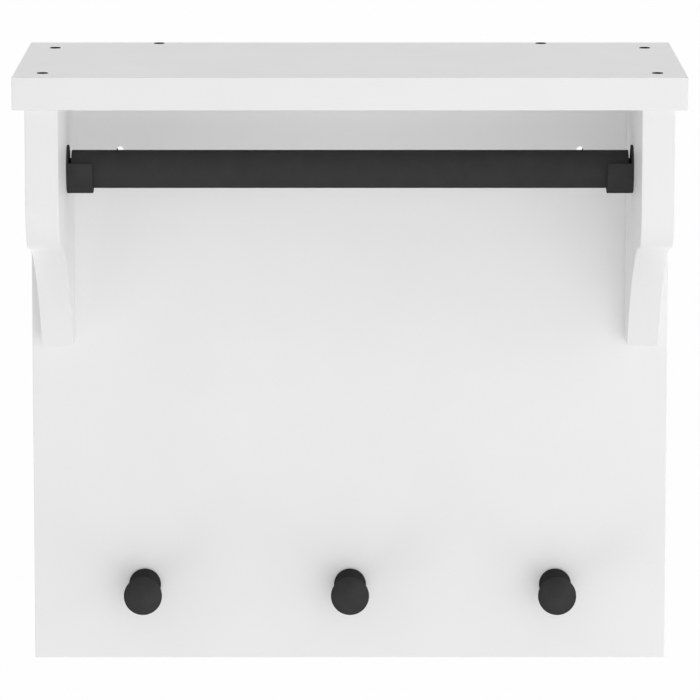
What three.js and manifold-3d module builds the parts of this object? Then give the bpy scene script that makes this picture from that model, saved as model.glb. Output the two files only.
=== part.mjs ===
// Wall hook rack: a shelf board on a back panel and two corbel brackets, with a
// lift-out hanging rail in open-topped sockets and a row of knob hooks.
// Millimetres, +Z up. The front faces -Y and the wall is at Y = 0.
// The origin is on the panel's rear face, midway between the two wall-fixing holes.
import * as THREE from "three";
import { mergeVertices } from "three/addons/utils/BufferGeometryUtils.js";
import Module from "manifold-3d";

// ---- driving dimensions ----

const GAP = 0.3; // running and fitting clearance between pieces

// boards
const WIDTH = 600;
const SHELF_DEPTH = 300;
const BOARD = 29.5; // thickness of the shelf and of the brackets
const PANEL = 18; // thickness of the back panel
const PANEL_HEIGHT = 557.5;
const SHELF_UNDERSIDE = 70; // above the wall-fixing holes

// wall-fixing holes and the black sleeves that line them behind a thin lip of the panel
const WALL_HOLE_X = 216;
const SLEEVE_BORE_RADIUS = 3.2;
const SLEEVE_WALL = 0.5;
const SLEEVE_LIP = 0.5;

// corbel brackets
const BRACKET_INSET = 11; // from the end of the shelf
const BRACKET_SETBACK = 5; // from the front of the shelf
const BRACKET_HEIGHT = 250;
const NOSE_RADIUS = 40; // rounds the front edge under
const NOSE_BOTTOM = 130;
const LEDGE_END = 52; // where the flat under the nose meets the hollow sweep
const SWEEP_RADIUS = 335;
const TOE = 39; // depth of the bracket's foot on the panel

// hanging rail
const RAIL_RADIUS = 17.5;
const RAIL_WALL = 1.5;
const RAIL_END_PLAY = 2.4; // at each end, to the socket's flange
const RAIL_FROM_FRONT = 160;
const RAIL_DROP = 72.5; // axis below the shelf

// rail sockets
const FLANGE_THICKNESS = 2;
const CUP_WALL = 4.4;
const CUP_LENGTH = 24; // flange included
const CUP_RISE = 7.5; // rims above the rail's axis
const SOCKET_SCREW_OFFSET = 9.5;

// knob hooks
const KNOB_SPACING = 195;
const KNOB_ABOVE_BOTTOM = 71.5;
const KNOB_BASE_RADIUS = 15.2;
const KNOB_BASE_RIM = 2.5;
const KNOB_NECK_RADIUS = 8.5;
const KNOB_NECK_AT = 24; // from the panel
const KNOB_HEAD_RADIUS = 18;
const KNOB_HEAD_AT = 56; // from the panel to the middle of the ball
const INSERT_RADIUS = 3.4;
const INSERT_LENGTH = 13;

// fasteners
const CONNECTOR = { head: 5, headDepth: 1.4, cone: 1.8, shank: 3.4, length: 50, tip: 3, drive: "hex" };
const WOOD_SCREW = { head: 3.4, headDepth: 0.2, cone: 1.6, shank: 1.6, length: 16, tip: 3, drive: "cross" };
const KNOB_SCREW = { head: 4, headDepth: 2.6, cone: 0, shank: 1.9, length: 26, tip: 0.8, drive: "cross" };
const KNOB_SCREW_RECESS = 3.2; // from the panel's rear face to the underside of the head
const TIP_SHARE = 0.5; // of the shank's radius, at a screw's tip
const SHELF_SCREW_PROUD = 0.5; // heads above the shelf's top
const HEX_KEY = 4; // across flats
const HEX_DEPTH = 2.5;
const CROSS_SPAN = 3.8;
const CROSS_SLOT = 0.9;
const CROSS_DEPTH = 1.1;
const DOWEL_RADIUS = 4;
const DOWEL_LENGTH = 30;
const DOWEL_CHAMFER = 1;

// facets, and steps along one curve
const FINE = 40;
const MEDIUM = 24;
const COARSE = 12;
const SLAB_STEPS = 8;
const CUP_STEPS = 10;
const WAIST_STEPS = 6;
const BALL_STEPS = 10;

// cutting
const OVERRUN = 1; // how far a cutter runs out past a surface
const WELD = 1e-4; // points closer than this are one point

// ---- places worked out from the dimensions ----

const HALF = WIDTH / 2;
const SHELF_TOP = SHELF_UNDERSIDE + BOARD;
const SHELF_SCREW_TOP = SHELF_TOP + SHELF_SCREW_PROUD;
const PANEL_BOTTOM = SHELF_UNDERSIDE - PANEL_HEIGHT;
const SHELF_FRONT = -SHELF_DEPTH;
const BRACKET_FRONT = SHELF_FRONT + BRACKET_SETBACK;
const BRACKET_DEPTH = -PANEL - BRACKET_FRONT;
const BRACKET_X = HALF - BRACKET_INSET - BOARD / 2;
const BRACKET_INNER_X = BRACKET_X - BOARD / 2;
const RAIL_Y = SHELF_FRONT + RAIL_FROM_FRONT;
const RAIL_Z = SHELF_UNDERSIDE - RAIL_DROP;
const RAIL_LENGTH = 2 * (BRACKET_INNER_X - FLANGE_THICKNESS - RAIL_END_PLAY);
const CUP_BORE_RADIUS = RAIL_RADIUS + GAP;
const CUP_RADIUS = CUP_BORE_RADIUS + CUP_WALL;
const KNOB_Z = PANEL_BOTTOM + KNOB_ABOVE_BOTTOM;

// fastener places: on the shelf (x, y), and on the panel's rear (x, z)
const SIDES = { left: -1, right: 1 };
const SHELF_SCREW_Y = { front: -266, rear: -50 };
const SHELF_PANEL_SCREW_X = 179;
const SHELF_DOWEL_Y = { front: -215, rear: -95 };
const SHELF_PANEL_DOWEL_X = 90;
const PANEL_SCREW_Z = { upper: 20, lower: -140 };
const PANEL_DOWEL_Z = -60;
const PANEL_DOWEL_DEPTH = 8; // length of the dowel inside the panel

// ---- materials ----

const COLOURS = {
  lacquer: { color: 0xeeeeee, roughness: 0.5, metalness: 0 },
  blackMetal: { color: 0x1c1c1c, roughness: 0.55, metalness: 0.2 },
  blackPlastic: { color: 0x1d1d1d, roughness: 0.6, metalness: 0 },
  zinc: { color: 0xb4b6b8, roughness: 0.35, metalness: 1 },
  brass: { color: 0xb9964a, roughness: 0.35, metalness: 1 },
  beech: { color: 0xcfa877, roughness: 0.8, metalness: 0 },
};

// ---- solids ----

const wasm = await Module();
wasm.setup();

// A closed geometry as a manifold solid.
function solidOf(geometry) {
  const bare = geometry.clone();
  bare.deleteAttribute("normal");
  bare.deleteAttribute("uv");
  const merged = mergeVertices(bare, WELD);
  const vertProperties = merged.attributes.position.array;
  const triVerts = new Uint32Array(merged.index.array);
  return new wasm.Manifold(new wasm.Mesh({ numProp: 3, vertProperties, triVerts }));
}

function geometryOf(solid) {
  const mesh = solid.getMesh();
  const geometry = new THREE.BufferGeometry();
  geometry.setAttribute("position", new THREE.BufferAttribute(mesh.vertProperties, 3));
  geometry.setIndex(new THREE.BufferAttribute(mesh.triVerts, 1));
  geometry.computeVertexNormals();
  return geometry;
}

function cut(geometry, cutters) {
  let solid = solidOf(geometry);
  for (const cutter of cutters) solid = solid.subtract(solidOf(cutter));
  return geometryOf(solid);
}

function join(first, second) {
  return geometryOf(solidOf(first).add(solidOf(second)));
}

// A turned solid: [radius, height] pairs from the axis at the bottom to the axis at the top.
function turned(outline, facets) {
  const points = outline.map(([radius, height]) => new THREE.Vector2(radius, height));
  return new THREE.LatheGeometry(points, facets);
}

// Turns a solid that points up its own Y axis so that it points along a world direction.
const POINTING = {
  up: (geometry) => geometry.rotateX(Math.PI / 2),
  back: (geometry) => geometry,
  front: (geometry) => geometry.rotateZ(Math.PI),
  right: (geometry) => geometry.rotateZ(-Math.PI / 2),
  left: (geometry) => geometry.rotateZ(Math.PI / 2),
};

function box(x0, x1, y0, y1, z0, z1) {
  const geometry = new THREE.BoxGeometry(x1 - x0, y1 - y0, z1 - z0);
  return geometry.translate((x0 + x1) / 2, (y0 + y1) / 2, (z0 + z1) / 2);
}

// ---- fasteners ----

// A screw with the top of its head at 0 and its tip below; grow widens it into its hole.
function screwOutline(type, grow) {
  const over = grow ? OVERRUN : 0;
  const outline = [[0, -type.length - grow]];
  outline.push([type.shank * TIP_SHARE + grow, -type.length - grow]);
  outline.push([type.shank + grow, -type.length + type.tip]);
  outline.push([type.shank + grow, -type.headDepth - type.cone - grow]);
  outline.push([type.head + grow, -type.headDepth - grow]);
  outline.push([type.head + grow, over]);
  outline.push([0, over]);
  return outline;
}

// Cutters for the recess that the driver fits.
const DRIVES = {
  hex: () => {
    const radius = HEX_KEY / Math.sqrt(3);
    return [new THREE.CylinderGeometry(radius, radius, 2 * HEX_DEPTH, 6)];
  },
  cross: () => [
    new THREE.BoxGeometry(CROSS_SPAN, 2 * CROSS_DEPTH, CROSS_SLOT),
    new THREE.BoxGeometry(CROSS_SLOT, 2 * CROSS_DEPTH, CROSS_SPAN),
  ],
};

function screwGeometry(type, pointing) {
  const blank = turned(screwOutline(type, 0), COARSE);
  return POINTING[pointing](cut(blank, DRIVES[type.drive]()));
}

function screwHole(type, pointing, x, y, z) {
  return POINTING[pointing](turned(screwOutline(type, GAP), COARSE)).translate(x, y, z);
}

// A dowel centred on its own middle.
function dowelOutline(grow) {
  const half = DOWEL_LENGTH / 2 + grow;
  const radius = DOWEL_RADIUS + grow;
  const outline = [[0, -half], [radius - DOWEL_CHAMFER, -half], [radius, DOWEL_CHAMFER - half]];
  outline.push([radius, half - DOWEL_CHAMFER], [radius - DOWEL_CHAMFER, half], [0, half]);
  return outline;
}

function dowelGeometry(pointing) {
  return POINTING[pointing](turned(dowelOutline(0), COARSE));
}

function dowelHole(pointing, x, y, z) {
  return POINTING[pointing](turned(dowelOutline(GAP), COARSE)).translate(x, y, z);
}

// Every connector screw and dowel: its name, the way its head points, and its place.
const connectors = [];
const dowels = [];
for (const [side, sign] of Object.entries(SIDES)) {
  const x = sign * BRACKET_X;
  for (const [row, y] of Object.entries(SHELF_SCREW_Y)) {
    connectors.push({ name: `shelf_screw_${row}_${side}`, pointing: "up", at: [x, y, SHELF_SCREW_TOP] });
  }
  const panelTopAt = [sign * SHELF_PANEL_SCREW_X, -PANEL / 2, SHELF_SCREW_TOP];
  connectors.push({ name: `shelf_to_panel_screw_${side}`, pointing: "up", at: panelTopAt });
  for (const [row, z] of Object.entries(PANEL_SCREW_Z)) {
    connectors.push({ name: `panel_screw_${row}_${side}`, pointing: "back", at: [x, 0, z] });
  }
  for (const [row, y] of Object.entries(SHELF_DOWEL_Y)) {
    dowels.push({ name: `bracket_dowel_${row}_${side}`, pointing: "up", at: [x, y, SHELF_UNDERSIDE] });
  }
  const topDowelAt = [sign * SHELF_PANEL_DOWEL_X, -PANEL / 2, SHELF_UNDERSIDE];
  dowels.push({ name: `shelf_to_panel_dowel_${side}`, pointing: "up", at: topDowelAt });
  const panelDowelY = PANEL_DOWEL_DEPTH - PANEL - DOWEL_LENGTH / 2;
  dowels.push({ name: `panel_dowel_${side}`, pointing: "back", at: [x, panelDowelY, PANEL_DOWEL_Z] });
}

// The holes that all connectors and dowels need; each board is cut by those that reach it.
function connectorHoles() {
  const screws = connectors.map(({ pointing, at }) => screwHole(CONNECTOR, pointing, ...at));
  return screws.concat(dowels.map(({ pointing, at }) => dowelHole(pointing, ...at)));
}

// ---- boards ----

function shelfBoard() {
  const board = box(-HALF, HALF, SHELF_FRONT, 0, SHELF_UNDERSIDE, SHELF_TOP);
  return cut(board, connectorHoles());
}

function knobHole(x) {
  const shank = KNOB_SCREW.shank + GAP;
  const bore = KNOB_SCREW.head + GAP;
  const floor = -KNOB_SCREW_RECESS - GAP;
  const through = -PANEL - OVERRUN;
  const outline = [[0, through], [shank, through], [shank, floor]];
  outline.push([bore, floor], [bore, OVERRUN], [0, OVERRUN]);
  return turned(outline, COARSE).translate(x, 0, KNOB_Z);
}

// As wide as the sleeve behind, and as narrow as the sleeve's own bore through the lip in front.
function wallHole(x) {
  const mouth = SLEEVE_BORE_RADIUS;
  const bore = SLEEVE_BORE_RADIUS + SLEEVE_WALL + GAP;
  const step = SLEEVE_LIP - PANEL;
  const through = -PANEL - OVERRUN;
  const outline = [[0, through], [mouth, through], [mouth, step]];
  outline.push([bore, step], [bore, OVERRUN], [0, OVERRUN]);
  return turned(outline, MEDIUM).translate(x, 0, 0);
}

function backPanel() {
  const panel = box(-HALF, HALF, -PANEL, 0, PANEL_BOTTOM, SHELF_UNDERSIDE);
  const knobHoles = [-KNOB_SPACING, 0, KNOB_SPACING].map(knobHole);
  const wallHoles = [-WALL_HOLE_X, WALL_HOLE_X].map(wallHole);
  return cut(panel, [...connectorHoles(), ...knobHoles, ...wallHoles]);
}

// The middle of an arc of a given radius through two points, on the right of the way between them.
function arcMiddle(from, to, radius) {
  const chord = to.clone().sub(from);
  const half = chord.length() / 2;
  const normal = new THREE.Vector2(chord.y, -chord.x).normalize();
  const reach = Math.sqrt(radius * radius - half * half);
  return from.clone().add(to).multiplyScalar(0.5).addScaledVector(normal, reach);
}

// Side view of a bracket: x runs back from its front edge and y up from the shelf.
function bracketOutline() {
  const ledge = new THREE.Vector2(LEDGE_END, -NOSE_BOTTOM);
  const toe = new THREE.Vector2(BRACKET_DEPTH - TOE, -BRACKET_HEIGHT);
  const middle = arcMiddle(ledge, toe, SWEEP_RADIUS);
  const toeAngle = Math.atan2(toe.y - middle.y, toe.x - middle.x);
  const ledgeAngle = Math.atan2(ledge.y - middle.y, ledge.x - middle.x);
  const noseMiddle = NOSE_RADIUS - NOSE_BOTTOM;
  const shape = new THREE.Shape();
  shape.moveTo(0, 0);
  shape.lineTo(BRACKET_DEPTH, 0);
  shape.lineTo(BRACKET_DEPTH, -BRACKET_HEIGHT);
  shape.lineTo(toe.x, toe.y);
  shape.absarc(middle.x, middle.y, SWEEP_RADIUS, toeAngle, ledgeAngle, false);
  shape.lineTo(NOSE_RADIUS, -NOSE_BOTTOM);
  shape.absarc(NOSE_RADIUS, noseMiddle, NOSE_RADIUS, -Math.PI / 2, -Math.PI, true);
  shape.closePath();
  return shape;
}

function bracket(sign) {
  const slab = new THREE.ExtrudeGeometry(bracketOutline(), {
    depth: BOARD,
    bevelEnabled: false,
    curveSegments: SLAB_STEPS,
  });
  slab.rotateX(Math.PI / 2);
  slab.rotateZ(Math.PI / 2);
  slab.translate(sign * BRACKET_X - BOARD / 2, BRACKET_FRONT, SHELF_UNDERSIDE);
  const inward = sign > 0 ? "left" : "right";
  const flangeX = sign * (BRACKET_INNER_X - FLANGE_THICKNESS);
  const screwHoles = socketScrewHeights().map((z) =>
    screwHole(WOOD_SCREW, inward, flangeX, RAIL_Y, z),
  );
  return cut(slab, [...connectorHoles(), ...screwHoles]);
}

// ---- rail and its sockets ----

function socketScrewHeights() {
  return [RAIL_Z + SOCKET_SCREW_OFFSET, RAIL_Z - SOCKET_SCREW_OFFSET];
}

// A tube about its own Y axis.
function tube(outer, inner, length, facets) {
  const half = length / 2;
  const outline = [[inner, -half], [outer, -half], [outer, half], [inner, half], [inner, -half]];
  return turned(outline, facets);
}

function railTube() {
  return POINTING.right(tube(RAIL_RADIUS, RAIL_RADIUS - RAIL_WALL, RAIL_LENGTH, FINE));
}

// A U seen along the rail: a half-round floor with straight sides up to the rims.
function cupOutline() {
  const shape = new THREE.Shape();
  shape.moveTo(-CUP_RADIUS, CUP_RISE);
  shape.lineTo(-CUP_RADIUS, 0);
  shape.absarc(0, 0, CUP_RADIUS, Math.PI, 2 * Math.PI, false);
  shape.lineTo(CUP_RADIUS, CUP_RISE);
  shape.lineTo(CUP_BORE_RADIUS, CUP_RISE);
  shape.lineTo(CUP_BORE_RADIUS, 0);
  shape.absarc(0, 0, CUP_BORE_RADIUS, 2 * Math.PI, Math.PI, true);
  shape.lineTo(-CUP_BORE_RADIUS, CUP_RISE);
  shape.closePath();
  return shape;
}

// A socket whose flange lies against X = 0 and whose cup reaches along +X.
function socketGeometry() {
  const cup = new THREE.ExtrudeGeometry(cupOutline(), {
    depth: CUP_LENGTH,
    bevelEnabled: false,
    curveSegments: CUP_STEPS,
  });
  cup.rotateX(Math.PI / 2);
  cup.rotateZ(Math.PI / 2);
  const flange = new THREE.CylinderGeometry(CUP_RADIUS, CUP_RADIUS, FLANGE_THICKNESS, FINE);
  flange.rotateZ(Math.PI / 2);
  flange.translate(FLANGE_THICKNESS / 2, 0, 0);
  const screwHoles = [SOCKET_SCREW_OFFSET, -SOCKET_SCREW_OFFSET].map((z) =>
    screwHole(WOOD_SCREW, "right", FLANGE_THICKNESS, 0, z),
  );
  return cut(join(cup, flange), screwHoles);
}

// ---- knob hooks ----

// The knob's outline from the panel outwards: a rimmed base, a hollow waist and a ball.
function knobOutline() {
  const outline = [[0, 0], [KNOB_BASE_RADIUS, 0], [KNOB_BASE_RADIUS, KNOB_BASE_RIM]];
  const waistDepth = KNOB_BASE_RADIUS - KNOB_NECK_RADIUS;
  const waistLength = KNOB_NECK_AT - KNOB_BASE_RIM;
  for (let i = 1; i <= WAIST_STEPS; i++) {
    const angle = (i / WAIST_STEPS) * (Math.PI / 2);
    const radius = KNOB_BASE_RADIUS - waistDepth * Math.sin(angle);
    outline.push([radius, KNOB_BASE_RIM + waistLength * (1 - Math.cos(angle))]);
  }
  const joinAngle = Math.asin(KNOB_NECK_RADIUS / KNOB_HEAD_RADIUS);
  for (let i = 0; i < BALL_STEPS; i++) {
    const angle = joinAngle + (i / BALL_STEPS) * (Math.PI - joinAngle);
    const along = KNOB_HEAD_AT - KNOB_HEAD_RADIUS * Math.cos(angle);
    outline.push([KNOB_HEAD_RADIUS * Math.sin(angle), along]);
  }
  outline.push([0, KNOB_HEAD_AT + KNOB_HEAD_RADIUS]);
  return outline;
}

// A knob with the socket for its threaded insert; it points along +Y before it is turned.
function knobGeometry() {
  const socketRadius = INSERT_RADIUS + GAP;
  const socket = new THREE.CylinderGeometry(socketRadius, socketRadius, 2 * (INSERT_LENGTH + GAP), COARSE);
  return POINTING.front(cut(turned(knobOutline(), MEDIUM), [socket]));
}

function insertGeometry() {
  const insert = tube(INSERT_RADIUS, KNOB_SCREW.shank + GAP, INSERT_LENGTH, COARSE);
  return insert.translate(0, -INSERT_LENGTH / 2, 0);
}

// ---- assembly ----

const rack = new THREE.Group();

function add(parent, name, geometry, colour, x = 0, y = 0, z = 0) {
  const mesh = new THREE.Mesh(geometry, new THREE.MeshStandardMaterial(COLOURS[colour]));
  mesh.name = name;
  mesh.position.set(x, y, z);
  parent.add(mesh);
}

function addBoards() {
  const boards = new THREE.Group();
  add(boards, "shelf_board", shelfBoard(), "lacquer");
  add(boards, "back_panel", backPanel(), "lacquer");
  for (const [side, sign] of Object.entries(SIDES)) {
    add(boards, `bracket_${side}`, bracket(sign), "lacquer");
  }
  rack.add(boards);
}

function addConnectors() {
  const hardware = new THREE.Group();
  for (const { name, pointing, at } of connectors) {
    add(hardware, name, screwGeometry(CONNECTOR, pointing), "blackMetal", ...at);
  }
  for (const { name, pointing, at } of dowels) {
    add(hardware, name, dowelGeometry(pointing), "beech", ...at);
  }
  rack.add(hardware);
}

function addWallSleeves() {
  const outer = SLEEVE_BORE_RADIUS + SLEEVE_WALL;
  const length = PANEL - SLEEVE_LIP - GAP;
  for (const [side, sign] of Object.entries(SIDES)) {
    const sleeve = tube(outer, SLEEVE_BORE_RADIUS, length, MEDIUM);
    add(rack, `wall_hole_sleeve_${side}`, sleeve, "blackPlastic", sign * WALL_HOLE_X, -length / 2, 0);
  }
}

// The left socket faces +X; the right one is the same piece turned half round.
function addRail() {
  const rail = new THREE.Group();
  rail.position.set(0, RAIL_Y, RAIL_Z);
  add(rail, "rail_tube", railTube(), "blackMetal");
  for (const [side, sign] of Object.entries(SIDES)) {
    const end = new THREE.Group();
    end.position.x = sign * BRACKET_INNER_X;
    end.rotation.z = sign > 0 ? Math.PI : 0;
    add(end, `rail_socket_${side}`, socketGeometry(), "blackPlastic");
    for (const [row, z] of Object.entries({ upper: SOCKET_SCREW_OFFSET, lower: -SOCKET_SCREW_OFFSET })) {
      const screw = screwGeometry(WOOD_SCREW, "right");
      add(end, `socket_screw_${row}_${side}`, screw, "blackMetal", FLANGE_THICKNESS, 0, z);
    }
    rail.add(end);
  }
  rack.add(rail);
}

function addKnobs() {
  const row = new THREE.Group();
  row.position.z = KNOB_Z;
  ["left", "centre", "right"].forEach((place, i) => {
    const hook = new THREE.Group();
    hook.position.x = (i - 1) * KNOB_SPACING;
    add(hook, `hook_knob_${place}`, knobGeometry(), "blackPlastic", 0, -PANEL, 0);
    add(hook, `knob_insert_${place}`, insertGeometry(), "brass", 0, -PANEL, 0);
    const screw = screwGeometry(KNOB_SCREW, "back");
    add(hook, `knob_screw_${place}`, screw, "zinc", 0, KNOB_SCREW.headDepth - KNOB_SCREW_RECESS, 0);
    row.add(hook);
  });
  rack.add(row);
}

addBoards();
addConnectors();
addWallSleeves();
addRail();
addKnobs();

export default rack;
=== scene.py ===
"""Looks for the wall hook rack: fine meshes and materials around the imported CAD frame.

Metres, +Z up. The front faces -Y and the wall is at Y = 0. Places come from the CAD nodes' boxes.
"""

import math
from collections import namedtuple

import bmesh
import bpy
from mathutils import Matrix, Vector


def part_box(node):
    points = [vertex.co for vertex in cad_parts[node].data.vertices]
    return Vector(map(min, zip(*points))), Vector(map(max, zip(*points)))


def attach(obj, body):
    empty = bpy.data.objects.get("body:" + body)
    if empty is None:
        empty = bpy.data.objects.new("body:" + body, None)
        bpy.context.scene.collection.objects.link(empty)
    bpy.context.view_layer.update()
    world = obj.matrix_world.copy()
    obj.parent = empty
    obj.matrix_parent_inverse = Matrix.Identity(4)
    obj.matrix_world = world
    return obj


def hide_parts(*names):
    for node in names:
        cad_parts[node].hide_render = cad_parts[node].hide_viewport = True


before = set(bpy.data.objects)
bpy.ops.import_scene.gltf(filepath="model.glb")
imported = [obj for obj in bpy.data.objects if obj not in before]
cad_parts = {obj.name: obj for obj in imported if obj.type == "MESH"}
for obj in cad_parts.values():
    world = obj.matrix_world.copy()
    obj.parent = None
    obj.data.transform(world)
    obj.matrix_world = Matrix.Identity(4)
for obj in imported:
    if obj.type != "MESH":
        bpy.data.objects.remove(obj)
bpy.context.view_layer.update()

MM = 0.001

# ---- driving dimensions of the looks ----

# camera: in front of the rack and above it, looking down; its lens and sensor are in millimetres
CAMERA_PLACE = Vector((0.0, -5.1, 0.629))
CAMERA_PITCH = math.radians(9.16)
CAMERA_LENS = 280.1
CAMERA_SENSOR = 36
CAMERA_NEAR = 0.1
CAMERA_FAR = 400

FLOOR_Z = -7.5
FLOOR_HALF = 150.0

# lights: azimuth to the right of the front and elevation, in degrees, and power in watts
LIGHTS = {
    "front": (10, 0, 31.1),
    "front_low": (10, -30, 6.9),
    "right": (85, 0, 37.2),
    "right_low": (60, -30, 17.7),
    "left_low": (-50, -30, 17.2),
    "top": (0, 89, 14.6),
    "back": (180, -35, 34),
}
LIGHT_TARGET = Vector((0, -0.15, -0.2))
LIGHT_DISTANCE = 4.0
LIGHT_SIZE = 2.5
WORLD_LIGHT = 0.581
WORLD_SEEN = 0.99

# brackets, seen from the side
NOSE_RADIUS = 40 * MM
NOSE_BOTTOM = 130 * MM
LEDGE_END = 52 * MM
SWEEP_RADIUS = 335 * MM
TOE = 39 * MM

# softened edges
BOARD_EDGE = 0.9 * MM
MOULD_EDGE = 0.6 * MM
TUBE_EDGE = 0.35 * MM

# rail and its sockets
TUBE_WALL = 1.5 * MM
FLANGE = 2 * MM
CUP_WALL = 4.4 * MM
CUP_RISE = 7.5 * MM

# knobs
KNOB_BASE_RADIUS = 15.2 * MM
KNOB_RIM = 2.5 * MM
KNOB_RIM_EDGE = 0.9 * MM
KNOB_RIM_SHOULDER = 0.36 * MM
KNOB_NECK_RADIUS = 8.5 * MM
KNOB_NECK_AT = 24 * MM  # from the panel
KNOB_FLARE = 0.6 * MM  # how much the neck widens towards the ball
KNOB_FLARE_LENGTH = 3 * MM

# threaded inserts in the knobs
INSERT_BORE = 2.2 * MM
INSERT_EDGE = 0.3 * MM
INSERT_MOUTH = 0.4 * MM  # chamfer on the knob round its insert
INSERT_CLEARANCE = 0.3 * MM
KNURLS = 18
KNURL_DEPTH = 0.25 * MM
FACETS_PER_KNURL = 4

# wall hole sleeves
SLEEVE_WALL = 0.5 * MM
SLEEVE_EDGE = 0.12 * MM
SLIP = 0.02 * MM  # clearance round a sleeve

# fasteners
KNOB_SCREW_BORE = 4.3 * MM
KNOB_SCREW_RECESS = 3.2 * MM
KNOB_SCREW_HOLE = 2 * MM
HEX_KEY = 4 * MM
HEX_DEPTH = 2.5 * MM
CROSS_SPAN = 3.8 * MM
CROSS_SLOT = 0.9 * MM
CROSS_DEPTH = 1.1 * MM
DOWEL_CHAMFER = 1 * MM
DOWEL_FLUTES = 14
DOWEL_FLUTE_DEPTH = 0.35 * MM
FACETS_PER_FLUTE = 6
HOLE_CLEARANCE = 0.05 * MM

OVERRUN = 2 * MM  # how far a cutter runs out past a surface

# facets round a turned piece
ROUND = 72
SLEEVE_ROUND = 64
HOLE_ROUND = 40
THREAD_ROUND = 30
HEXAGON = 6

# steps along a curve
SWEEP_STEPS = 56
NOSE_STEPS = 32
CUP_STEPS = 48
RIM_STEPS = 6
WAIST_STEPS = 16
FLARE_STEPS = 5
BALL_STEPS = 28
STEPS_PER_PITCH = 5

# lengths this close count as the same
DIGITS = 7  # decimals of a metre
WELD = 10**-DIGITS
TINY = 1e-6

UP = Vector((0, 0, 1))
BACK = Vector((0, 1, 0))
FRONT = Vector((0, -1, 0))
RIGHT = Vector((1, 0, 0))
LEFT = Vector((-1, 0, 0))
SIDES = {"left": -1, "right": 1}
KNOBS = ("left", "centre", "right")


# ---- mesh helpers ----


def mesh_object(name, verts, faces):
    """A mesh with its shared corners welded and its faces turned outwards."""
    mesh = bpy.data.meshes.new(name)
    mesh.from_pydata([tuple(v) for v in verts], [], faces)
    bm = bmesh.new()
    bm.from_mesh(mesh)
    bmesh.ops.remove_doubles(bm, verts=bm.verts, dist=WELD)
    bmesh.ops.recalc_face_normals(bm, faces=bm.faces)
    bm.to_mesh(mesh)
    bm.free()
    mesh.validate()
    obj = bpy.data.objects.new(name, mesh)
    bpy.context.scene.collection.objects.link(obj)
    return obj


def turned(name, outline, facets, radius_at=None):
    """A solid turned about +Z from (radius, height) pairs; radius_at may vary it by angle and height."""
    verts, circles, faces = [], [], []
    for radius, height in outline:
        if radius < WELD:
            circles.append([len(verts)] * facets)
            verts.append((0, 0, height))
            continue
        circle = []
        for i in range(facets):
            angle = 2 * math.pi * i / facets
            r = radius_at(radius, height, angle) if radius_at else radius
            circle.append(len(verts))
            verts.append((r * math.cos(angle), r * math.sin(angle), height))
        circles.append(circle)
    for low, high in zip(circles, circles[1:]):
        for i in range(facets):
            j = (i + 1) % facets
            corners = [low[i], low[j], high[j], high[i]]
            unique = list(dict.fromkeys(corners))
            if len(unique) > 2:
                faces.append(unique)
    return mesh_object(name, verts, faces)


def box_object(name, low, high):
    corners = [(x, y, z) for x in (low.x, high.x) for y in (low.y, high.y) for z in (low.z, high.z)]
    faces = [(0, 1, 3, 2), (4, 6, 7, 5), (0, 4, 5, 1), (2, 3, 7, 6), (0, 2, 6, 4), (1, 5, 7, 3)]
    return mesh_object(name, corners, faces)


def bake(obj):
    """Turns an object's modifiers into its mesh."""
    depsgraph = bpy.context.evaluated_depsgraph_get()
    mesh = bpy.data.meshes.new_from_object(obj.evaluated_get(depsgraph))
    obj.modifiers.clear()
    old = obj.data
    obj.data = mesh
    mesh.name = obj.name
    bpy.data.meshes.remove(old)


def discard(obj):
    """Deletes an object and its mesh."""
    mesh = obj.data
    bpy.data.objects.remove(obj)
    bpy.data.meshes.remove(mesh)


def carve(obj, cutters):
    """Cuts solids out of an object and deletes them."""
    for cutter in cutters:
        modifier = obj.modifiers.new("cut", "BOOLEAN")
        modifier.operation = "DIFFERENCE"
        modifier.solver = "EXACT"
        modifier.object = cutter
    bake(obj)
    for cutter in cutters:
        discard(cutter)


def soften(obj, width, segments=3, sharper_than=35):
    """Rounds every edge sharper than an angle, then shades the faces smooth."""
    modifier = obj.modifiers.new("edge", "BEVEL")
    modifier.width = width
    modifier.segments = segments
    modifier.limit_method = "ANGLE"
    modifier.angle_limit = math.radians(sharper_than)
    modifier.miter_outer = "MITER_ARC"
    bake(obj)
    shade(obj)


def shade(obj, sharp=40):
    """Shades smooth across every edge but those sharper than an angle."""
    for polygon in obj.data.polygons:
        polygon.use_smooth = True
    obj.data.set_sharp_from_angle(angle=math.radians(sharp))
    weighted = obj.modifiers.new("normals", "WEIGHTED_NORMAL")
    weighted.keep_sharp = True
    bake(obj)


def aim(obj, place, direction):
    """Turns a piece made along +Z to point along a direction, with its own origin at a place."""
    turn = UP.rotation_difference(direction).to_matrix().to_4x4()
    obj.data.transform(Matrix.Translation(place) @ turn)


def middle(node):
    """The middle of a node's box."""
    low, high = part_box(node)
    return (low + high) / 2


def finish_piece(obj, node, slot, body="rack"):
    """Makes a piece stand for a CAD node and gives it its slot's material."""
    obj.data.materials.clear()
    obj.data.materials.append(MATERIALS[slot])
    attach(obj, body)
    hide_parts(node)


# ---- materials ----


# the colour sockets of Blender's Mix node by index, because their names repeat
MIX_FACTOR, MIX_FIRST, MIX_SECOND = 0, 6, 7
MIX_RESULT = 2

# an edge starts to show, and shows fully, at these cosines between the rounded normal and the face's
EDGE_STARTS = 0.995
EDGE_FULL = 0.85
EDGE_SAMPLES = 8

# shares of a moulding's own tone: under its painted shade, in its paler patches, and on its edges
PAINTED_SHADE = 0.78
PATCHY = 1.25
WORN = 1.4


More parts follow.
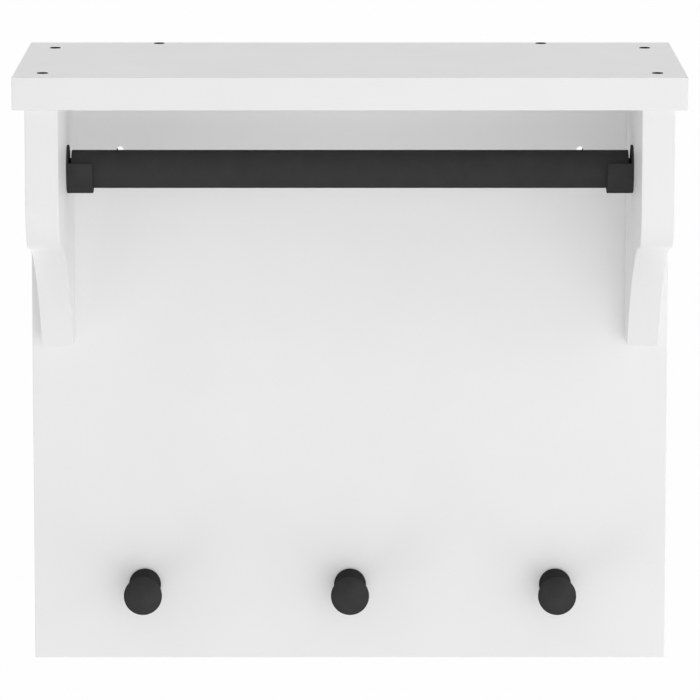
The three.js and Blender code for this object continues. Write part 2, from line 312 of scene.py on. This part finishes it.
class Nodes:
    """A new material's node tree, with short calls to add and join nodes."""

    def __init__(self, name):
        self.material = bpy.data.materials.new(name)
        self.material.use_nodes = True
        self.tree = self.material.node_tree
        self.shader = self.tree.nodes["Principled BSDF"]
        coordinates = self.tree.nodes.new("ShaderNodeTexCoord")
        self.place = coordinates.outputs["Object"]

    def add(self, kind, inputs=None, **settings):
        node = self.tree.nodes.new(kind)
        for key, value in settings.items():
            setattr(node, key, value)
        for key, value in (inputs or {}).items():
            if isinstance(value, bpy.types.NodeSocket):
                self.tree.links.new(value, node.inputs[key])
            else:
                node.inputs[key].default_value = value
        return node

    def noise(self, scale, detail=4.0, roughness=0.55, place=None):
        inputs = {"Vector": place or self.place, "Scale": scale, "Detail": detail, "Roughness": roughness}
        return self.add("ShaderNodeTexNoise", inputs).outputs["Fac"]

    def ramp(self, value, low, high, to_low=0.0, to_high=1.0):
        inputs = {"Value": value, "From Min": low, "From Max": high, "To Min": to_low, "To Max": to_high}
        return self.add("ShaderNodeMapRange", inputs).outputs["Result"]

    def mix(self, factor, first, second):
        node = self.add("ShaderNodeMix", data_type="RGBA")
        for index, value in ((MIX_FACTOR, factor), (MIX_FIRST, first), (MIX_SECOND, second)):
            if isinstance(value, bpy.types.NodeSocket):
                self.tree.links.new(value, node.inputs[index])
            else:
                node.inputs[index].default_value = value
        return node.outputs[MIX_RESULT]

    def edges(self, radius):
        """1 on edges, where the rounded normal leaves the face's own, and 0 on flat faces."""
        rounded = self.add("ShaderNodeBevel", {"Radius": radius}, samples=EDGE_SAMPLES).outputs["Normal"]
        true = self.add("ShaderNodeNewGeometry").outputs["Normal"]
        dot = self.add("ShaderNodeVectorMath", {0: rounded, 1: true}, operation="DOT_PRODUCT")
        return self.ramp(dot.outputs["Value"], EDGE_STARTS, EDGE_FULL)

    def bump(self, height, strength, distance, normal=None):
        inputs = {"Height": height, "Strength": strength, "Distance": distance}
        if normal:
            inputs["Normal"] = normal
        return self.add("ShaderNodeBump", inputs).outputs["Normal"]

    def put(self, **sockets):
        """Sets the shader's sockets, by name with _ for a space."""
        for name, value in sockets.items():
            socket = self.shader.inputs[name.replace("_", " ")]
            if isinstance(value, bpy.types.NodeSocket):
                self.tree.links.new(value, socket)
            else:
                socket.default_value = value


def grey(value, warm=0.0):
    """A grey, or one with a little more red than blue."""
    return (value * (1 + warm), value, value * (1 - warm), 1)


def white_lacquer(name):
    """Sprayed satin lacquer on board: faint orange peel, soft cloudiness, thinner on the edges."""
    n = Nodes(name)
    cloud = n.ramp(n.noise(scale=7.0, detail=3.0), 0.35, 0.65)
    tone = n.mix(cloud, grey(0.873), grey(0.887))
    speck = n.ramp(n.noise(scale=1400.0, detail=2.0), 0.69, 0.76)
    tone = n.mix(speck, tone, grey(0.85, warm=0.01))
    tone = n.mix(n.edges(radius=1.2 * MM), tone, grey(0.85, warm=0.006))
    peel = n.noise(scale=420.0, detail=2.0, roughness=0.4)
    wave = n.noise(scale=38.0, detail=1.0, roughness=0.3)
    normal = n.bump(wave, strength=0.12, distance=0.4 * MM)
    normal = n.bump(peel, strength=0.1, distance=0.05 * MM, normal=normal)
    sheen = n.ramp(n.noise(scale=24.0, detail=5.0), 0.3, 0.7, to_low=0.4, to_high=0.5)
    n.put(Base_Color=tone, Roughness=sheen, Normal=normal)
    return n.material


def powder_coat(name):
    """Matt black powder coat: a fine grain, dust in it, and edges rubbed paler."""
    n = Nodes(name)
    cloud = n.ramp(n.noise(scale=60.0), 0.3, 0.7)
    tone = n.mix(cloud, grey(0.043), grey(0.048))
    dust = n.ramp(n.noise(scale=900.0, detail=2.0), 0.7, 0.8)
    tone = n.mix(dust, tone, grey(0.065))
    tone = n.mix(n.edges(radius=0.8 * MM), tone, grey(0.055))
    grain = n.noise(scale=2200.0, detail=3.0, roughness=0.6)
    normal = n.bump(grain, strength=0.25, distance=0.06 * MM)
    rough = n.ramp(n.noise(scale=140.0), 0.3, 0.7, to_low=0.5, to_high=0.62)
    n.put(Base_Color=tone, Roughness=rough, Normal=normal, Specular_IOR_Level=0.0)
    return n.material


def black_moulding(name, dark, painted_shade_between=None):
    """Spark-textured black plastic, which may have painted shade: darker at and behind the first of two
    places along Y, fading to its own tone at the second.
    """
    n = Nodes(name)
    cloud = n.ramp(n.noise(scale=45.0), 0.3, 0.7)
    tone = n.mix(cloud, grey(dark), grey(dark * PATCHY))
    # painted shade on the knobs: the base and neck are darkened to a share of the tone, fading out
    # between the neck and the middle of the ball
    if painted_shade_between:
        depth = n.add("ShaderNodeSeparateXYZ", {"Vector": n.place}).outputs["Y"]
        tone = n.mix(n.ramp(depth, *painted_shade_between), grey(dark * PAINTED_SHADE), tone)
    tone = n.mix(n.edges(radius=0.8 * MM), tone, grey(dark * WORN))
    spark = n.noise(scale=3200.0, detail=2.0, roughness=0.5)
    normal = n.bump(spark, strength=0.2, distance=0.04 * MM)
    rough = n.ramp(n.noise(scale=90.0, detail=3.0), 0.3, 0.7, to_low=0.5, to_high=0.6)
    n.put(Base_Color=tone, Roughness=rough, Normal=normal, Specular_IOR_Level=0.0)
    return n.material


def coated_steel(name):
    """Black-passivated steel, paler where it's worn and on its edges."""
    n = Nodes(name)
    worn = n.ramp(n.noise(scale=700.0, detail=3.0), 0.45, 0.75)
    tone = n.mix(worn, grey(0.01), grey(0.018))
    tone = n.mix(n.edges(radius=0.3 * MM), tone, grey(0.04))
    grain = n.noise(scale=1600.0, detail=3.0)
    normal = n.bump(grain, strength=0.2, distance=0.03 * MM)
    rough = n.ramp(n.noise(scale=500.0, detail=3.0), 0.3, 0.7, to_low=0.5, to_high=0.65)
    n.put(Base_Color=tone, Roughness=rough, Normal=normal, Specular_IOR_Level=0.0)
    return n.material


def bright_metal(name, colour, dull):
    """Plated or turned metal, dulled in patches."""
    n = Nodes(name)
    patch = n.ramp(n.noise(scale=260.0), 0.35, 0.7)
    tone = n.mix(patch, (*colour, 1), (*dull, 1))
    grain = n.noise(scale=2600.0, detail=2.0)
    normal = n.bump(grain, strength=0.15, distance=0.02 * MM)
    rough = n.ramp(patch, 0, 1, to_low=0.26, to_high=0.42)
    n.put(Base_Color=tone, Roughness=rough, Normal=normal, Metallic=1.0)
    return n.material


def beech(name):
    """Plain beech with fine flecks drawn out along Z."""
    n = Nodes(name)
    squeeze = {"Vector": n.place, "Scale": (1.0, 1.0, 0.12)}
    stretched = n.add("ShaderNodeMapping", squeeze).outputs["Vector"]
    fleck = n.ramp(n.noise(scale=1800.0, detail=5.0, place=stretched), 0.35, 0.7)
    tone = n.mix(fleck, (0.62, 0.42, 0.24, 1), (0.47, 0.29, 0.15, 1))
    grain = n.noise(scale=1400.0, detail=3.0, place=stretched)
    normal = n.bump(grain, strength=0.3, distance=0.1 * MM)
    rough = n.ramp(fleck, 0, 1, to_low=0.6, to_high=0.78)
    n.put(Base_Color=tone, Roughness=rough, Normal=normal)
    return n.material


def knob_neck_and_nose():
    """The Y of the knobs' necks, and of the middles of their balls, where their painted shade starts to
    fade and where it has gone.
    """
    low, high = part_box("hook_knob_centre")
    return high.y - KNOB_NECK_AT, low.y + (high.z - low.z) / 2


MATERIALS = {
    "white_lacquered_board": white_lacquer("white_lacquer"),
    "black_rail": powder_coat("black_powder_coat"),
    "black_socket": black_moulding("black_socket_moulding", 0.042),
    "black_knob": black_moulding("black_knob_moulding", 0.044, knob_neck_and_nose()),
    "black_sleeve": black_moulding("black_sleeve_moulding", 0.02),
    "black_screw": coated_steel("black_coated_steel"),
    "zinc_screw": bright_metal("zinc_plate", (0.62, 0.63, 0.66), (0.48, 0.48, 0.5)),
    "brass_insert": bright_metal("turned_brass", (0.72, 0.53, 0.24), (0.55, 0.38, 0.15)),
    "beech_dowel": beech("plain_beech"),
}


# ---- fasteners ----

# node: kind, and the way its head points
SCREWS = {}
for side in SIDES:
    for row in ("front", "rear"):
        SCREWS[f"shelf_screw_{row}_{side}"] = ("connector", UP)
    SCREWS[f"shelf_to_panel_screw_{side}"] = ("connector", UP)
    for row in ("upper", "lower"):
        SCREWS[f"panel_screw_{row}_{side}"] = ("connector", BACK)
        SCREWS[f"socket_screw_{row}_{side}"] = ("wood", RIGHT if side == "left" else LEFT)
for place in KNOBS:
    SCREWS[f"knob_screw_{place}"] = ("machine", BACK)

# node: the way it points
DOWELS = {}
for side in SIDES:
    for row in ("front", "rear"):
        DOWELS[f"bracket_dowel_{row}_{side}"] = UP
    DOWELS[f"shelf_to_panel_dowel_{side}"] = UP
    DOWELS[f"panel_dowel_{side}"] = BACK

# the depths of a head and of the cone under it, the shank's radius, the plain length under the cone,
# the thread's pitch and the depth of its groove, the rounding of the head's rim, and the tip's length
# and its radius as a share of the shank's
Screw = namedtuple("Screw", "head cone shank plain pitch groove rim tip blunt")
SCREW_SIZES = {
    "connector": Screw(1.4 * MM, 1.8 * MM, 3.4 * MM, 13 * MM, 3 * MM, 1.1 * MM, 0.2 * MM, 7.5 * MM, 0.35),
    "wood": Screw(0.2 * MM, 1.6 * MM, 1.6 * MM, 1.2 * MM, 1.4 * MM, 0.45 * MM, 0.08 * MM, 3.5 * MM, 0.3),
    "machine": Screw(2.6 * MM, 0, 1.9 * MM, 1 * MM, 0.7 * MM, 0.38 * MM, 0.8 * MM, 1.1 * MM, 0.72),
}
RIM_KNEE = (0.4, 0.35)  # the middle of a rim's rounding: in and down, as shares of the rounding
RIDGE_HALF_WIDTH = 0.3125  # of a thread's ridge, as a share of its pitch


def node_size(node, direction):
    """A turned node's radius and length along its own direction."""
    low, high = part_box(node)
    extent = high - low
    length = abs(extent.dot(direction))
    across = [abs(extent[i]) for i in range(3) if direction[i] == 0]
    return max(across) / 2, length


def head_place(node, direction):
    """The middle of the outer end of a screw's head."""
    low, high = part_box(node)
    return middle(node) + direction * (abs((high - low).dot(direction)) / 2)


def drive_cutters(kind):
    """What cuts a hexagon into a connector's head, and a cross into the others'."""
    if kind == "connector":
        radius = HEX_KEY / math.sqrt(3)
        outline = [(0, -HEX_DEPTH), (radius, -HEX_DEPTH), (radius, HEX_DEPTH), (0, HEX_DEPTH)]
        return [turned("cutter", outline, HEXAGON)]
    long_side = Vector((CROSS_SPAN / 2, CROSS_SLOT / 2, CROSS_DEPTH))
    wide_side = Vector((CROSS_SLOT / 2, CROSS_SPAN / 2, CROSS_DEPTH))
    return [box_object("cutter", -long_side, long_side), box_object("cutter", -wide_side, wide_side)]


def screw_outline(kind, head_radius, length):
    """From the tip, up the thread and the plain shank, to the top of the head at 0."""
    size = SCREW_SIZES[kind]
    tip = -length
    cone_end = -size.head - size.cone
    thread_end = cone_end - size.plain
    steps = round((thread_end - tip) / size.pitch * STEPS_PER_PITCH)
    knee_in, knee_down = RIM_KNEE
    outline = [(0, tip)]
    for i in range(steps + 1):
        outline.append((size.shank, tip + (thread_end - tip) * i / steps))
    outline += [(size.shank, cone_end), (head_radius, -size.head), (head_radius, -size.rim)]
    outline.append((head_radius - size.rim * knee_in, -size.rim * knee_down))
    return [*outline, (head_radius - size.rim, 0), (0, 0)]


def thread(kind, length):
    """The radius on a helical thread that fades out at its tip and under the plain shank."""
    size = SCREW_SIZES[kind]
    top = -size.head - size.cone - size.plain

    def radius_at(radius, height, angle):
        if height >= top - TINY or abs(radius - size.shank) > TINY:
            return radius
        phase = (height / size.pitch - angle / (2 * math.pi)) % 1.0
        off_ridge = min(1.0, abs(phase - 0.5) / RIDGE_HALF_WIDTH)
        runout = min(1.0, (top - height) / size.pitch)
        taper = min(1.0, size.blunt + (1 - size.blunt) * (height + length) / size.tip)
        return (radius - size.groove * off_ridge * runout) * taper

    return radius_at


def make_screws():
    """One finished screw of each kind, and a copy of it for each node."""
    masters = {}
    for node, (kind, direction) in SCREWS.items():
        if kind not in masters:
            radius, length = node_size(node, direction)
            outline = screw_outline(kind, radius, length)
            master = turned(kind, outline, THREAD_ROUND, thread(kind, length))
            carve(master, drive_cutters(kind))
            shade(master, sharp=35)
            masters[kind] = master
        piece = bpy.data.objects.new(f"{node}_detail", masters[kind].data.copy())
        bpy.context.scene.collection.objects.link(piece)
        aim(piece, head_place(node, direction), direction)
        finish_piece(piece, node, "zinc_screw" if kind == "machine" else "black_screw")
    for master in masters.values():
        discard(master)


def make_dowels():
    for node, direction in DOWELS.items():
        radius, length = node_size(node, direction)
        half = length / 2
        end_radius = radius - DOWEL_CHAMFER

        def fluted(r, height, angle):
            if abs(r - radius) > TINY:
                return r
            return r - DOWEL_FLUTE_DEPTH * max(0.0, math.cos(DOWEL_FLUTES * angle)) ** 2

        outline = [(0, -half), (end_radius, -half), (radius, DOWEL_CHAMFER - half)]
        outline += [(radius, half - DOWEL_CHAMFER), (end_radius, half), (0, half)]
        piece = turned(f"{node}_detail", outline, DOWEL_FLUTES * FACETS_PER_FLUTE, fluted)
        shade(piece)
        aim(piece, middle(node), direction)
        finish_piece(piece, node, "beech_dowel")


def ring(name, outer, inner, length, edge, facets, radius_at=None):
    """A tube along +Z, centred on its middle, with chamfered ends."""
    half = length / 2
    outline = [(inner + edge, -half), (outer - edge, -half), (outer, edge - half)]
    outline += [(outer, half - edge), (outer - edge, half), (inner + edge, half)]
    outline += [(inner, half - edge), (inner, edge - half), (inner + edge, -half)]
    return turned(name, outline, facets, radius_at)


def make_inserts():
    for place in KNOBS:
        node = f"knob_insert_{place}"
        radius, length = node_size(node, FRONT)

        def knurled(r, height, angle):
            in_groove = abs(r - radius) < TINY and math.cos(KNURLS * angle) > 0
            return r - KNURL_DEPTH if in_groove else r

        facets = KNURLS * FACETS_PER_KNURL
        piece = ring(f"{node}_detail", radius, INSERT_BORE, length, INSERT_EDGE, facets, knurled)
        shade(piece, sharp=30)
        aim(piece, middle(node), FRONT)
        finish_piece(piece, node, "brass_insert")


def make_sleeves():
    for side in SIDES:
        node = f"wall_hole_sleeve_{side}"
        radius, length = node_size(node, FRONT)
        bore = radius - SLEEVE_WALL
        piece = ring(f"{node}_detail", radius, bore, length, SLEEVE_EDGE, SLEEVE_ROUND)
        shade(piece, sharp=50)
        aim(piece, middle(node), FRONT)
        finish_piece(piece, node, "black_sleeve")


# ---- boards ----


def hole(place, direction, steps):
    """A cutter sunk from a place: (radius, depth) steps going in, and out past the surface."""
    outline = [(0, -steps[-1][1])]
    for radius, depth in reversed(steps):
        outline.append((radius, -depth))
    outline += [(steps[0][0], OVERRUN), (0, OVERRUN)]
    cutter = turned("cutter", outline, HOLE_ROUND)
    aim(cutter, place, direction)
    return cutter


def screw_hole(node):
    """A cutter for a screw's head, cone and shank, with a little clearance."""
    kind, direction = SCREWS[node]
    size = SCREW_SIZES[kind]
    radius, length = node_size(node, direction)
    bore = size.shank + HOLE_CLEARANCE
    steps = [(radius + HOLE_CLEARANCE, size.head + HOLE_CLEARANCE)]
    steps += [(bore, size.head + size.cone + HOLE_CLEARANCE), (bore, length + HOLE_CLEARANCE)]
    return hole(head_place(node, direction), direction, steps)


def dowel_hole(node):
    """A cutter for a dowel, with a little clearance."""
    direction = DOWELS[node]
    radius, length = node_size(node, direction)
    bore = radius + HOLE_CLEARANCE
    half = length / 2 + HOLE_CLEARANCE
    cutter = turned("cutter", [(0, -half), (bore, -half), (bore, half), (0, half)], HOLE_ROUND)
    aim(cutter, middle(node), direction)
    return cutter


def touching(node, names):
    """The nodes whose boxes reach into a node's box."""
    low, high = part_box(node)
    near = []
    for name in names:
        a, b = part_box(name)
        if all(a[i] < high[i] - TINY and b[i] > low[i] + TINY for i in range(3)):
            near.append(name)
    return near


def fastener_holes(node):
    """Cutters for the connectors and dowels that reach into a board."""
    cutters = [screw_hole(name) for name in touching(node, SCREWS) if SCREWS[name][0] == "connector"]
    return cutters + [dowel_hole(name) for name in touching(node, DOWELS)]


def make_shelf():
    node = "shelf_board"
    board = box_object(f"{node}_detail", *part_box(node))
    soften(board, BOARD_EDGE)
    carve(board, fastener_holes(node))
    shade(board)
    finish_piece(board, node, "white_lacquered_board")


def make_panel():
    node = "back_panel"
    low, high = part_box(node)
    panel = box_object(f"{node}_detail", low, high)
    soften(panel, BOARD_EDGE)
    cutters = fastener_holes(node)
    thickness = high.y - low.y
    for side in SIDES:
        radius, length = node_size(f"wall_hole_sleeve_{side}", BACK)
        centre = middle(f"wall_hole_sleeve_{side}")
        centre.y = high.y
        bore = radius + SLIP
        mouth = radius - SLEEVE_WALL
        steps = [(bore, length + SLIP), (mouth, length + SLIP), (mouth, thickness + OVERRUN)]
        cutters.append(hole(centre, BACK, steps))
    for place in KNOBS:
        centre = middle(f"knob_screw_{place}")
        centre.y = high.y
        steps = [(KNOB_SCREW_BORE, KNOB_SCREW_RECESS), (KNOB_SCREW_HOLE, KNOB_SCREW_RECESS)]
        cutters.append(hole(centre, BACK, [*steps, (KNOB_SCREW_HOLE, thickness + OVERRUN)]))
    carve(panel, cutters)
    shade(panel)
    finish_piece(panel, node, "white_lacquered_board")


def arc(centre, radius, start, end, steps):
    """Points on an arc, ends included, angles in radians."""
    points = []
    for i in range(steps + 1):
        angle = start + (end - start) * i / steps
        points.append((centre[0] + radius * math.cos(angle), centre[1] + radius * math.sin(angle)))
    return points


def bracket_outline(depth, height):
    """Side view from the shelf's underside: x runs back from the front edge and y up."""
    ledge = Vector((LEDGE_END, -NOSE_BOTTOM))
    toe = Vector((depth - TOE, -height))
    chord = toe - ledge
    normal = Vector((chord.y, -chord.x)).normalized()
    reach = math.sqrt(SWEEP_RADIUS**2 - (chord.length / 2) ** 2)
    centre = (ledge + toe) / 2 + normal * reach
    start = math.atan2(toe.y - centre.y, toe.x - centre.x)
    end = math.atan2(ledge.y - centre.y, ledge.x - centre.x)
    points = [(0, 0), (depth, 0), (depth, -height)]
    points += arc(centre, SWEEP_RADIUS, start, end, SWEEP_STEPS)
    nose = (NOSE_RADIUS, NOSE_RADIUS - NOSE_BOTTOM)
    points += arc(nose, NOSE_RADIUS, -math.pi / 2, -math.pi, NOSE_STEPS)
    return points


def slab(name, outline, place, thickness):
    """An outline in (Y, Z) made into a slab that runs along +X from a place."""
    count = len(outline)
    near = [place + Vector((0, y, z)) for y, z in outline]
    far = [p + Vector((thickness, 0, 0)) for p in near]
    faces = [tuple(range(count)), tuple(range(count, 2 * count))]
    for i in range(count):
        j = (i + 1) % count
        faces.append((i, j, count + j, count + i))
    return mesh_object(name, near + far, faces)


def make_brackets():
    for side in SIDES:
        node = f"bracket_{side}"
        low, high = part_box(node)
        outline = bracket_outline(high.y - low.y, high.z - low.z)
        piece = slab(f"{node}_detail", outline, Vector((low.x, low.y, high.z)), high.x - low.x)
        soften(piece, BOARD_EDGE)
        cutters = fastener_holes(node)
        for name in touching(node, SCREWS):
            if SCREWS[name][0] == "wood":
                cutters.append(screw_hole(name))
        carve(piece, cutters)
        shade(piece)
        finish_piece(piece, node, "white_lacquered_board")


# ---- rail ----


def make_rail():
    low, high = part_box("rail_tube")
    radius = (high.z - low.z) / 2
    piece = ring("rail_tube_detail", radius, radius - TUBE_WALL, high.x - low.x, TUBE_EDGE, ROUND)
    shade(piece, sharp=50)
    aim(piece, middle("rail_tube"), RIGHT)
    finish_piece(piece, "rail_tube", "black_rail", body="rail")


def socket_mesh(name, outer, inner, rise, length):
    """A flange against X = 0 and a U-shaped cup along +X, as one closed skin."""
    step = math.sqrt(outer**2 - rise**2)
    lower = arc((0, 0), outer, math.pi, 2 * math.pi, CUP_STEPS)
    top_angle = math.atan2(rise, step)
    upper = arc((0, 0), outer, top_angle, math.pi - top_angle, CUP_STEPS)
    bore = arc((0, 0), inner, math.pi, 2 * math.pi, CUP_STEPS)
    verts, index = [], {}

    def at(x, point):
        key = (round(x, DIGITS), round(point[0], DIGITS), round(point[1], DIGITS))
        if key not in index:
            index[key] = len(verts)
            verts.append(key)
        return index[key]

    faces = []

    def face(*corners):
        faces.append([at(x, p) for x, p in corners])

    def wall(points, start, end):
        for p, q in zip(points, points[1:]):
            face((start, p), (start, q), (end, q), (end, p))

    outer_left, outer_right = (-outer, rise), (outer, rise)
    inner_left, inner_right = (-inner, rise), (inner, rise)
    shell = [outer_left, *lower, outer_right]
    face(*[(0, p) for p in [*shell, *upper]])
    wall(shell, 0, length)
    wall(upper, 0, FLANGE)
    pocket = [inner_left, *bore, inner_right]
    wall(pocket, FLANGE, length)
    face(*[(FLANGE, p) for p in [*pocket, *upper]])
    face(*[(length, p) for p in [*shell, *reversed(pocket)]])
    rims = ((outer_right, inner_right, upper[0]), (outer_left, inner_left, upper[-1]))
    for outside, inside, on_arc in rims:
        along_cup = [(0, outside), (length, outside), (length, inside), (FLANGE, inside)]
        face(*along_cup, (FLANGE, on_arc), (0, on_arc))
    return mesh_object(name, verts, faces)


def make_sockets():
    for side, sign in SIDES.items():
        node = f"rail_socket_{side}"
        low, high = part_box(node)
        outer = (high.y - low.y) / 2
        piece = socket_mesh(f"{node}_detail", outer, outer - CUP_WALL, CUP_RISE, high.x - low.x)
        centre = (low + high) / 2
        foot = Vector((high.x if sign > 0 else low.x, centre.y, low.z + outer))
        turn = Matrix.Rotation(math.pi if sign > 0 else 0, 4, "Z")
        piece.data.transform(Matrix.Translation(foot) @ turn)
        soften(piece, MOULD_EDGE)
        carve(piece, [screw_hole(name) for name in touching(node, SCREWS)])
        shade(piece)
        finish_piece(piece, node, "black_socket")


# ---- knobs ----


def knob_outline(base, head, length, insert_radius, insert_length):
    """From the bottom of the insert's socket, round the base, waist and ball, to the nose."""
    bore = insert_radius + INSERT_CLEARANCE
    depth = insert_length + INSERT_CLEARANCE
    edge = KNOB_RIM_EDGE
    outline = [(0, depth), (bore, depth), (bore, INSERT_MOUTH), (bore + INSERT_MOUTH, 0)]
    outline += arc((base - edge, edge), edge, -math.pi / 2, 0, RIM_STEPS)
    outline.append((base, KNOB_RIM - KNOB_RIM_SHOULDER))
    waist = KNOB_NECK_AT - KNOB_RIM
    for i in range(1, WAIST_STEPS + 1):
        angle = i / WAIST_STEPS * math.pi / 2
        radius = base - (base - KNOB_NECK_RADIUS) * math.sin(angle)
        outline.append((radius, KNOB_RIM + waist * (1 - math.cos(angle))))
    ball = length - head
    join = math.asin(KNOB_NECK_RADIUS / head)
    flare_start = ball - head * math.cos(join) - KNOB_FLARE_LENGTH
    for i in range(FLARE_STEPS):
        t = i / FLARE_STEPS
        outline.append((KNOB_NECK_RADIUS + KNOB_FLARE * t * t, flare_start + KNOB_FLARE_LENGTH * t))
    for i in range(1, BALL_STEPS):
        angle = join + (math.pi - join) * i / BALL_STEPS
        outline.append((head * math.sin(angle), ball - head * math.cos(angle)))
    return [*outline, (0, length)]


def make_knobs():
    for place in KNOBS:
        node = f"hook_knob_{place}"
        head, length = node_size(node, FRONT)
        insert_size = node_size(f"knob_insert_{place}", FRONT)
        outline = knob_outline(KNOB_BASE_RADIUS, head, length, *insert_size)
        piece = turned(f"{node}_detail", outline, ROUND)
        shade(piece, sharp=50)
        foot = middle(node) + BACK * (length / 2)
        aim(piece, foot, FRONT)
        finish_piece(piece, node, "black_knob")


# ---- stage ----


def make_stage():
    """A pale floor far under the rack, which hangs in the air. It shows, and lights nothing."""
    verts = [(x * FLOOR_HALF, y * FLOOR_HALF, FLOOR_Z) for x, y in ((-1, -1), (1, -1), (1, 1), (-1, 1))]
    floor = mesh_object("floor", verts, [(0, 1, 2, 3)])
    material = bpy.data.materials.new("pale_floor")
    material.use_nodes = True
    shader = material.node_tree.nodes["Principled BSDF"]
    shader.inputs["Base Color"].default_value = (0, 0, 0, 1)
    shader.inputs["Specular IOR Level"].default_value = 0
    shader.inputs["Emission Color"].default_value = (1, 1, 1, 1)
    shader.inputs["Emission Strength"].default_value = WORLD_SEEN
    floor.data.materials.append(material)
    floor.visible_diffuse = False
    floor.visible_glossy = False
    floor.visible_transmission = False
    floor.visible_shadow = False


def make_world():
    """A studio that lights the rack softly from all round, and is white where it's seen or reflected."""
    world = bpy.data.worlds.new("studio")
    world.use_nodes = True
    bpy.context.scene.world = world
    tree = world.node_tree
    light = tree.nodes["Background"]
    seen = tree.nodes.new("ShaderNodeBackground")
    for background, strength in ((light, WORLD_LIGHT), (seen, WORLD_SEEN)):
        background.inputs["Color"].default_value = (1, 1, 1, 1)
        background.inputs["Strength"].default_value = strength
    path = tree.nodes.new("ShaderNodeLightPath")
    either = tree.nodes.new("ShaderNodeMath")
    either.operation = "MAXIMUM"
    tree.links.new(path.outputs["Is Camera Ray"], either.inputs[0])
    tree.links.new(path.outputs["Is Glossy Ray"], either.inputs[1])
    mix = tree.nodes.new("ShaderNodeMixShader")
    tree.links.new(either.outputs["Value"], mix.inputs["Fac"])
    tree.links.new(light.outputs["Background"], mix.inputs[1])
    tree.links.new(seen.outputs["Background"], mix.inputs[2])
    tree.links.new(mix.outputs["Shader"], tree.nodes["World Output"].inputs["Surface"])


def make_lights():
    """Large soft discs round the rack. They light it and don't show."""
    for name, (azimuth, elevation, power) in LIGHTS.items():
        data = bpy.data.lights.new(name, "AREA")
        data.shape = "DISK"
        data.size = LIGHT_SIZE
        data.energy = power
        light = bpy.data.objects.new(name, data)
        bpy.context.scene.collection.objects.link(light)
        a, e = math.radians(azimuth), math.radians(elevation)
        away = Vector((math.sin(a) * math.cos(e), -math.cos(a) * math.cos(e), math.sin(e)))
        light.location = LIGHT_TARGET + away * LIGHT_DISTANCE
        light.rotation_euler = (-away).to_track_quat("-Z", "Y").to_euler()
        light.visible_camera = False


def make_camera():
    data = bpy.data.cameras.new("camera")
    data.lens = CAMERA_LENS
    data.sensor_width = CAMERA_SENSOR
    data.clip_start = CAMERA_NEAR
    data.clip_end = CAMERA_FAR
    camera = bpy.data.objects.new("camera", data)
    bpy.context.scene.collection.objects.link(camera)
    camera.location = CAMERA_PLACE
    camera.rotation_euler = (math.pi / 2 - CAMERA_PITCH, 0, 0)
    bpy.context.scene.camera = camera


make_camera()
make_stage()
make_world()
make_lights()
make_shelf()
make_panel()
make_brackets()
make_rail()
make_sockets()
make_knobs()
make_screws()
make_dowels()
make_inserts()
make_sleeves()

bpy.context.scene.view_settings.view_transform = "Standard"
bpy.context.scene.view_settings.look = "None"
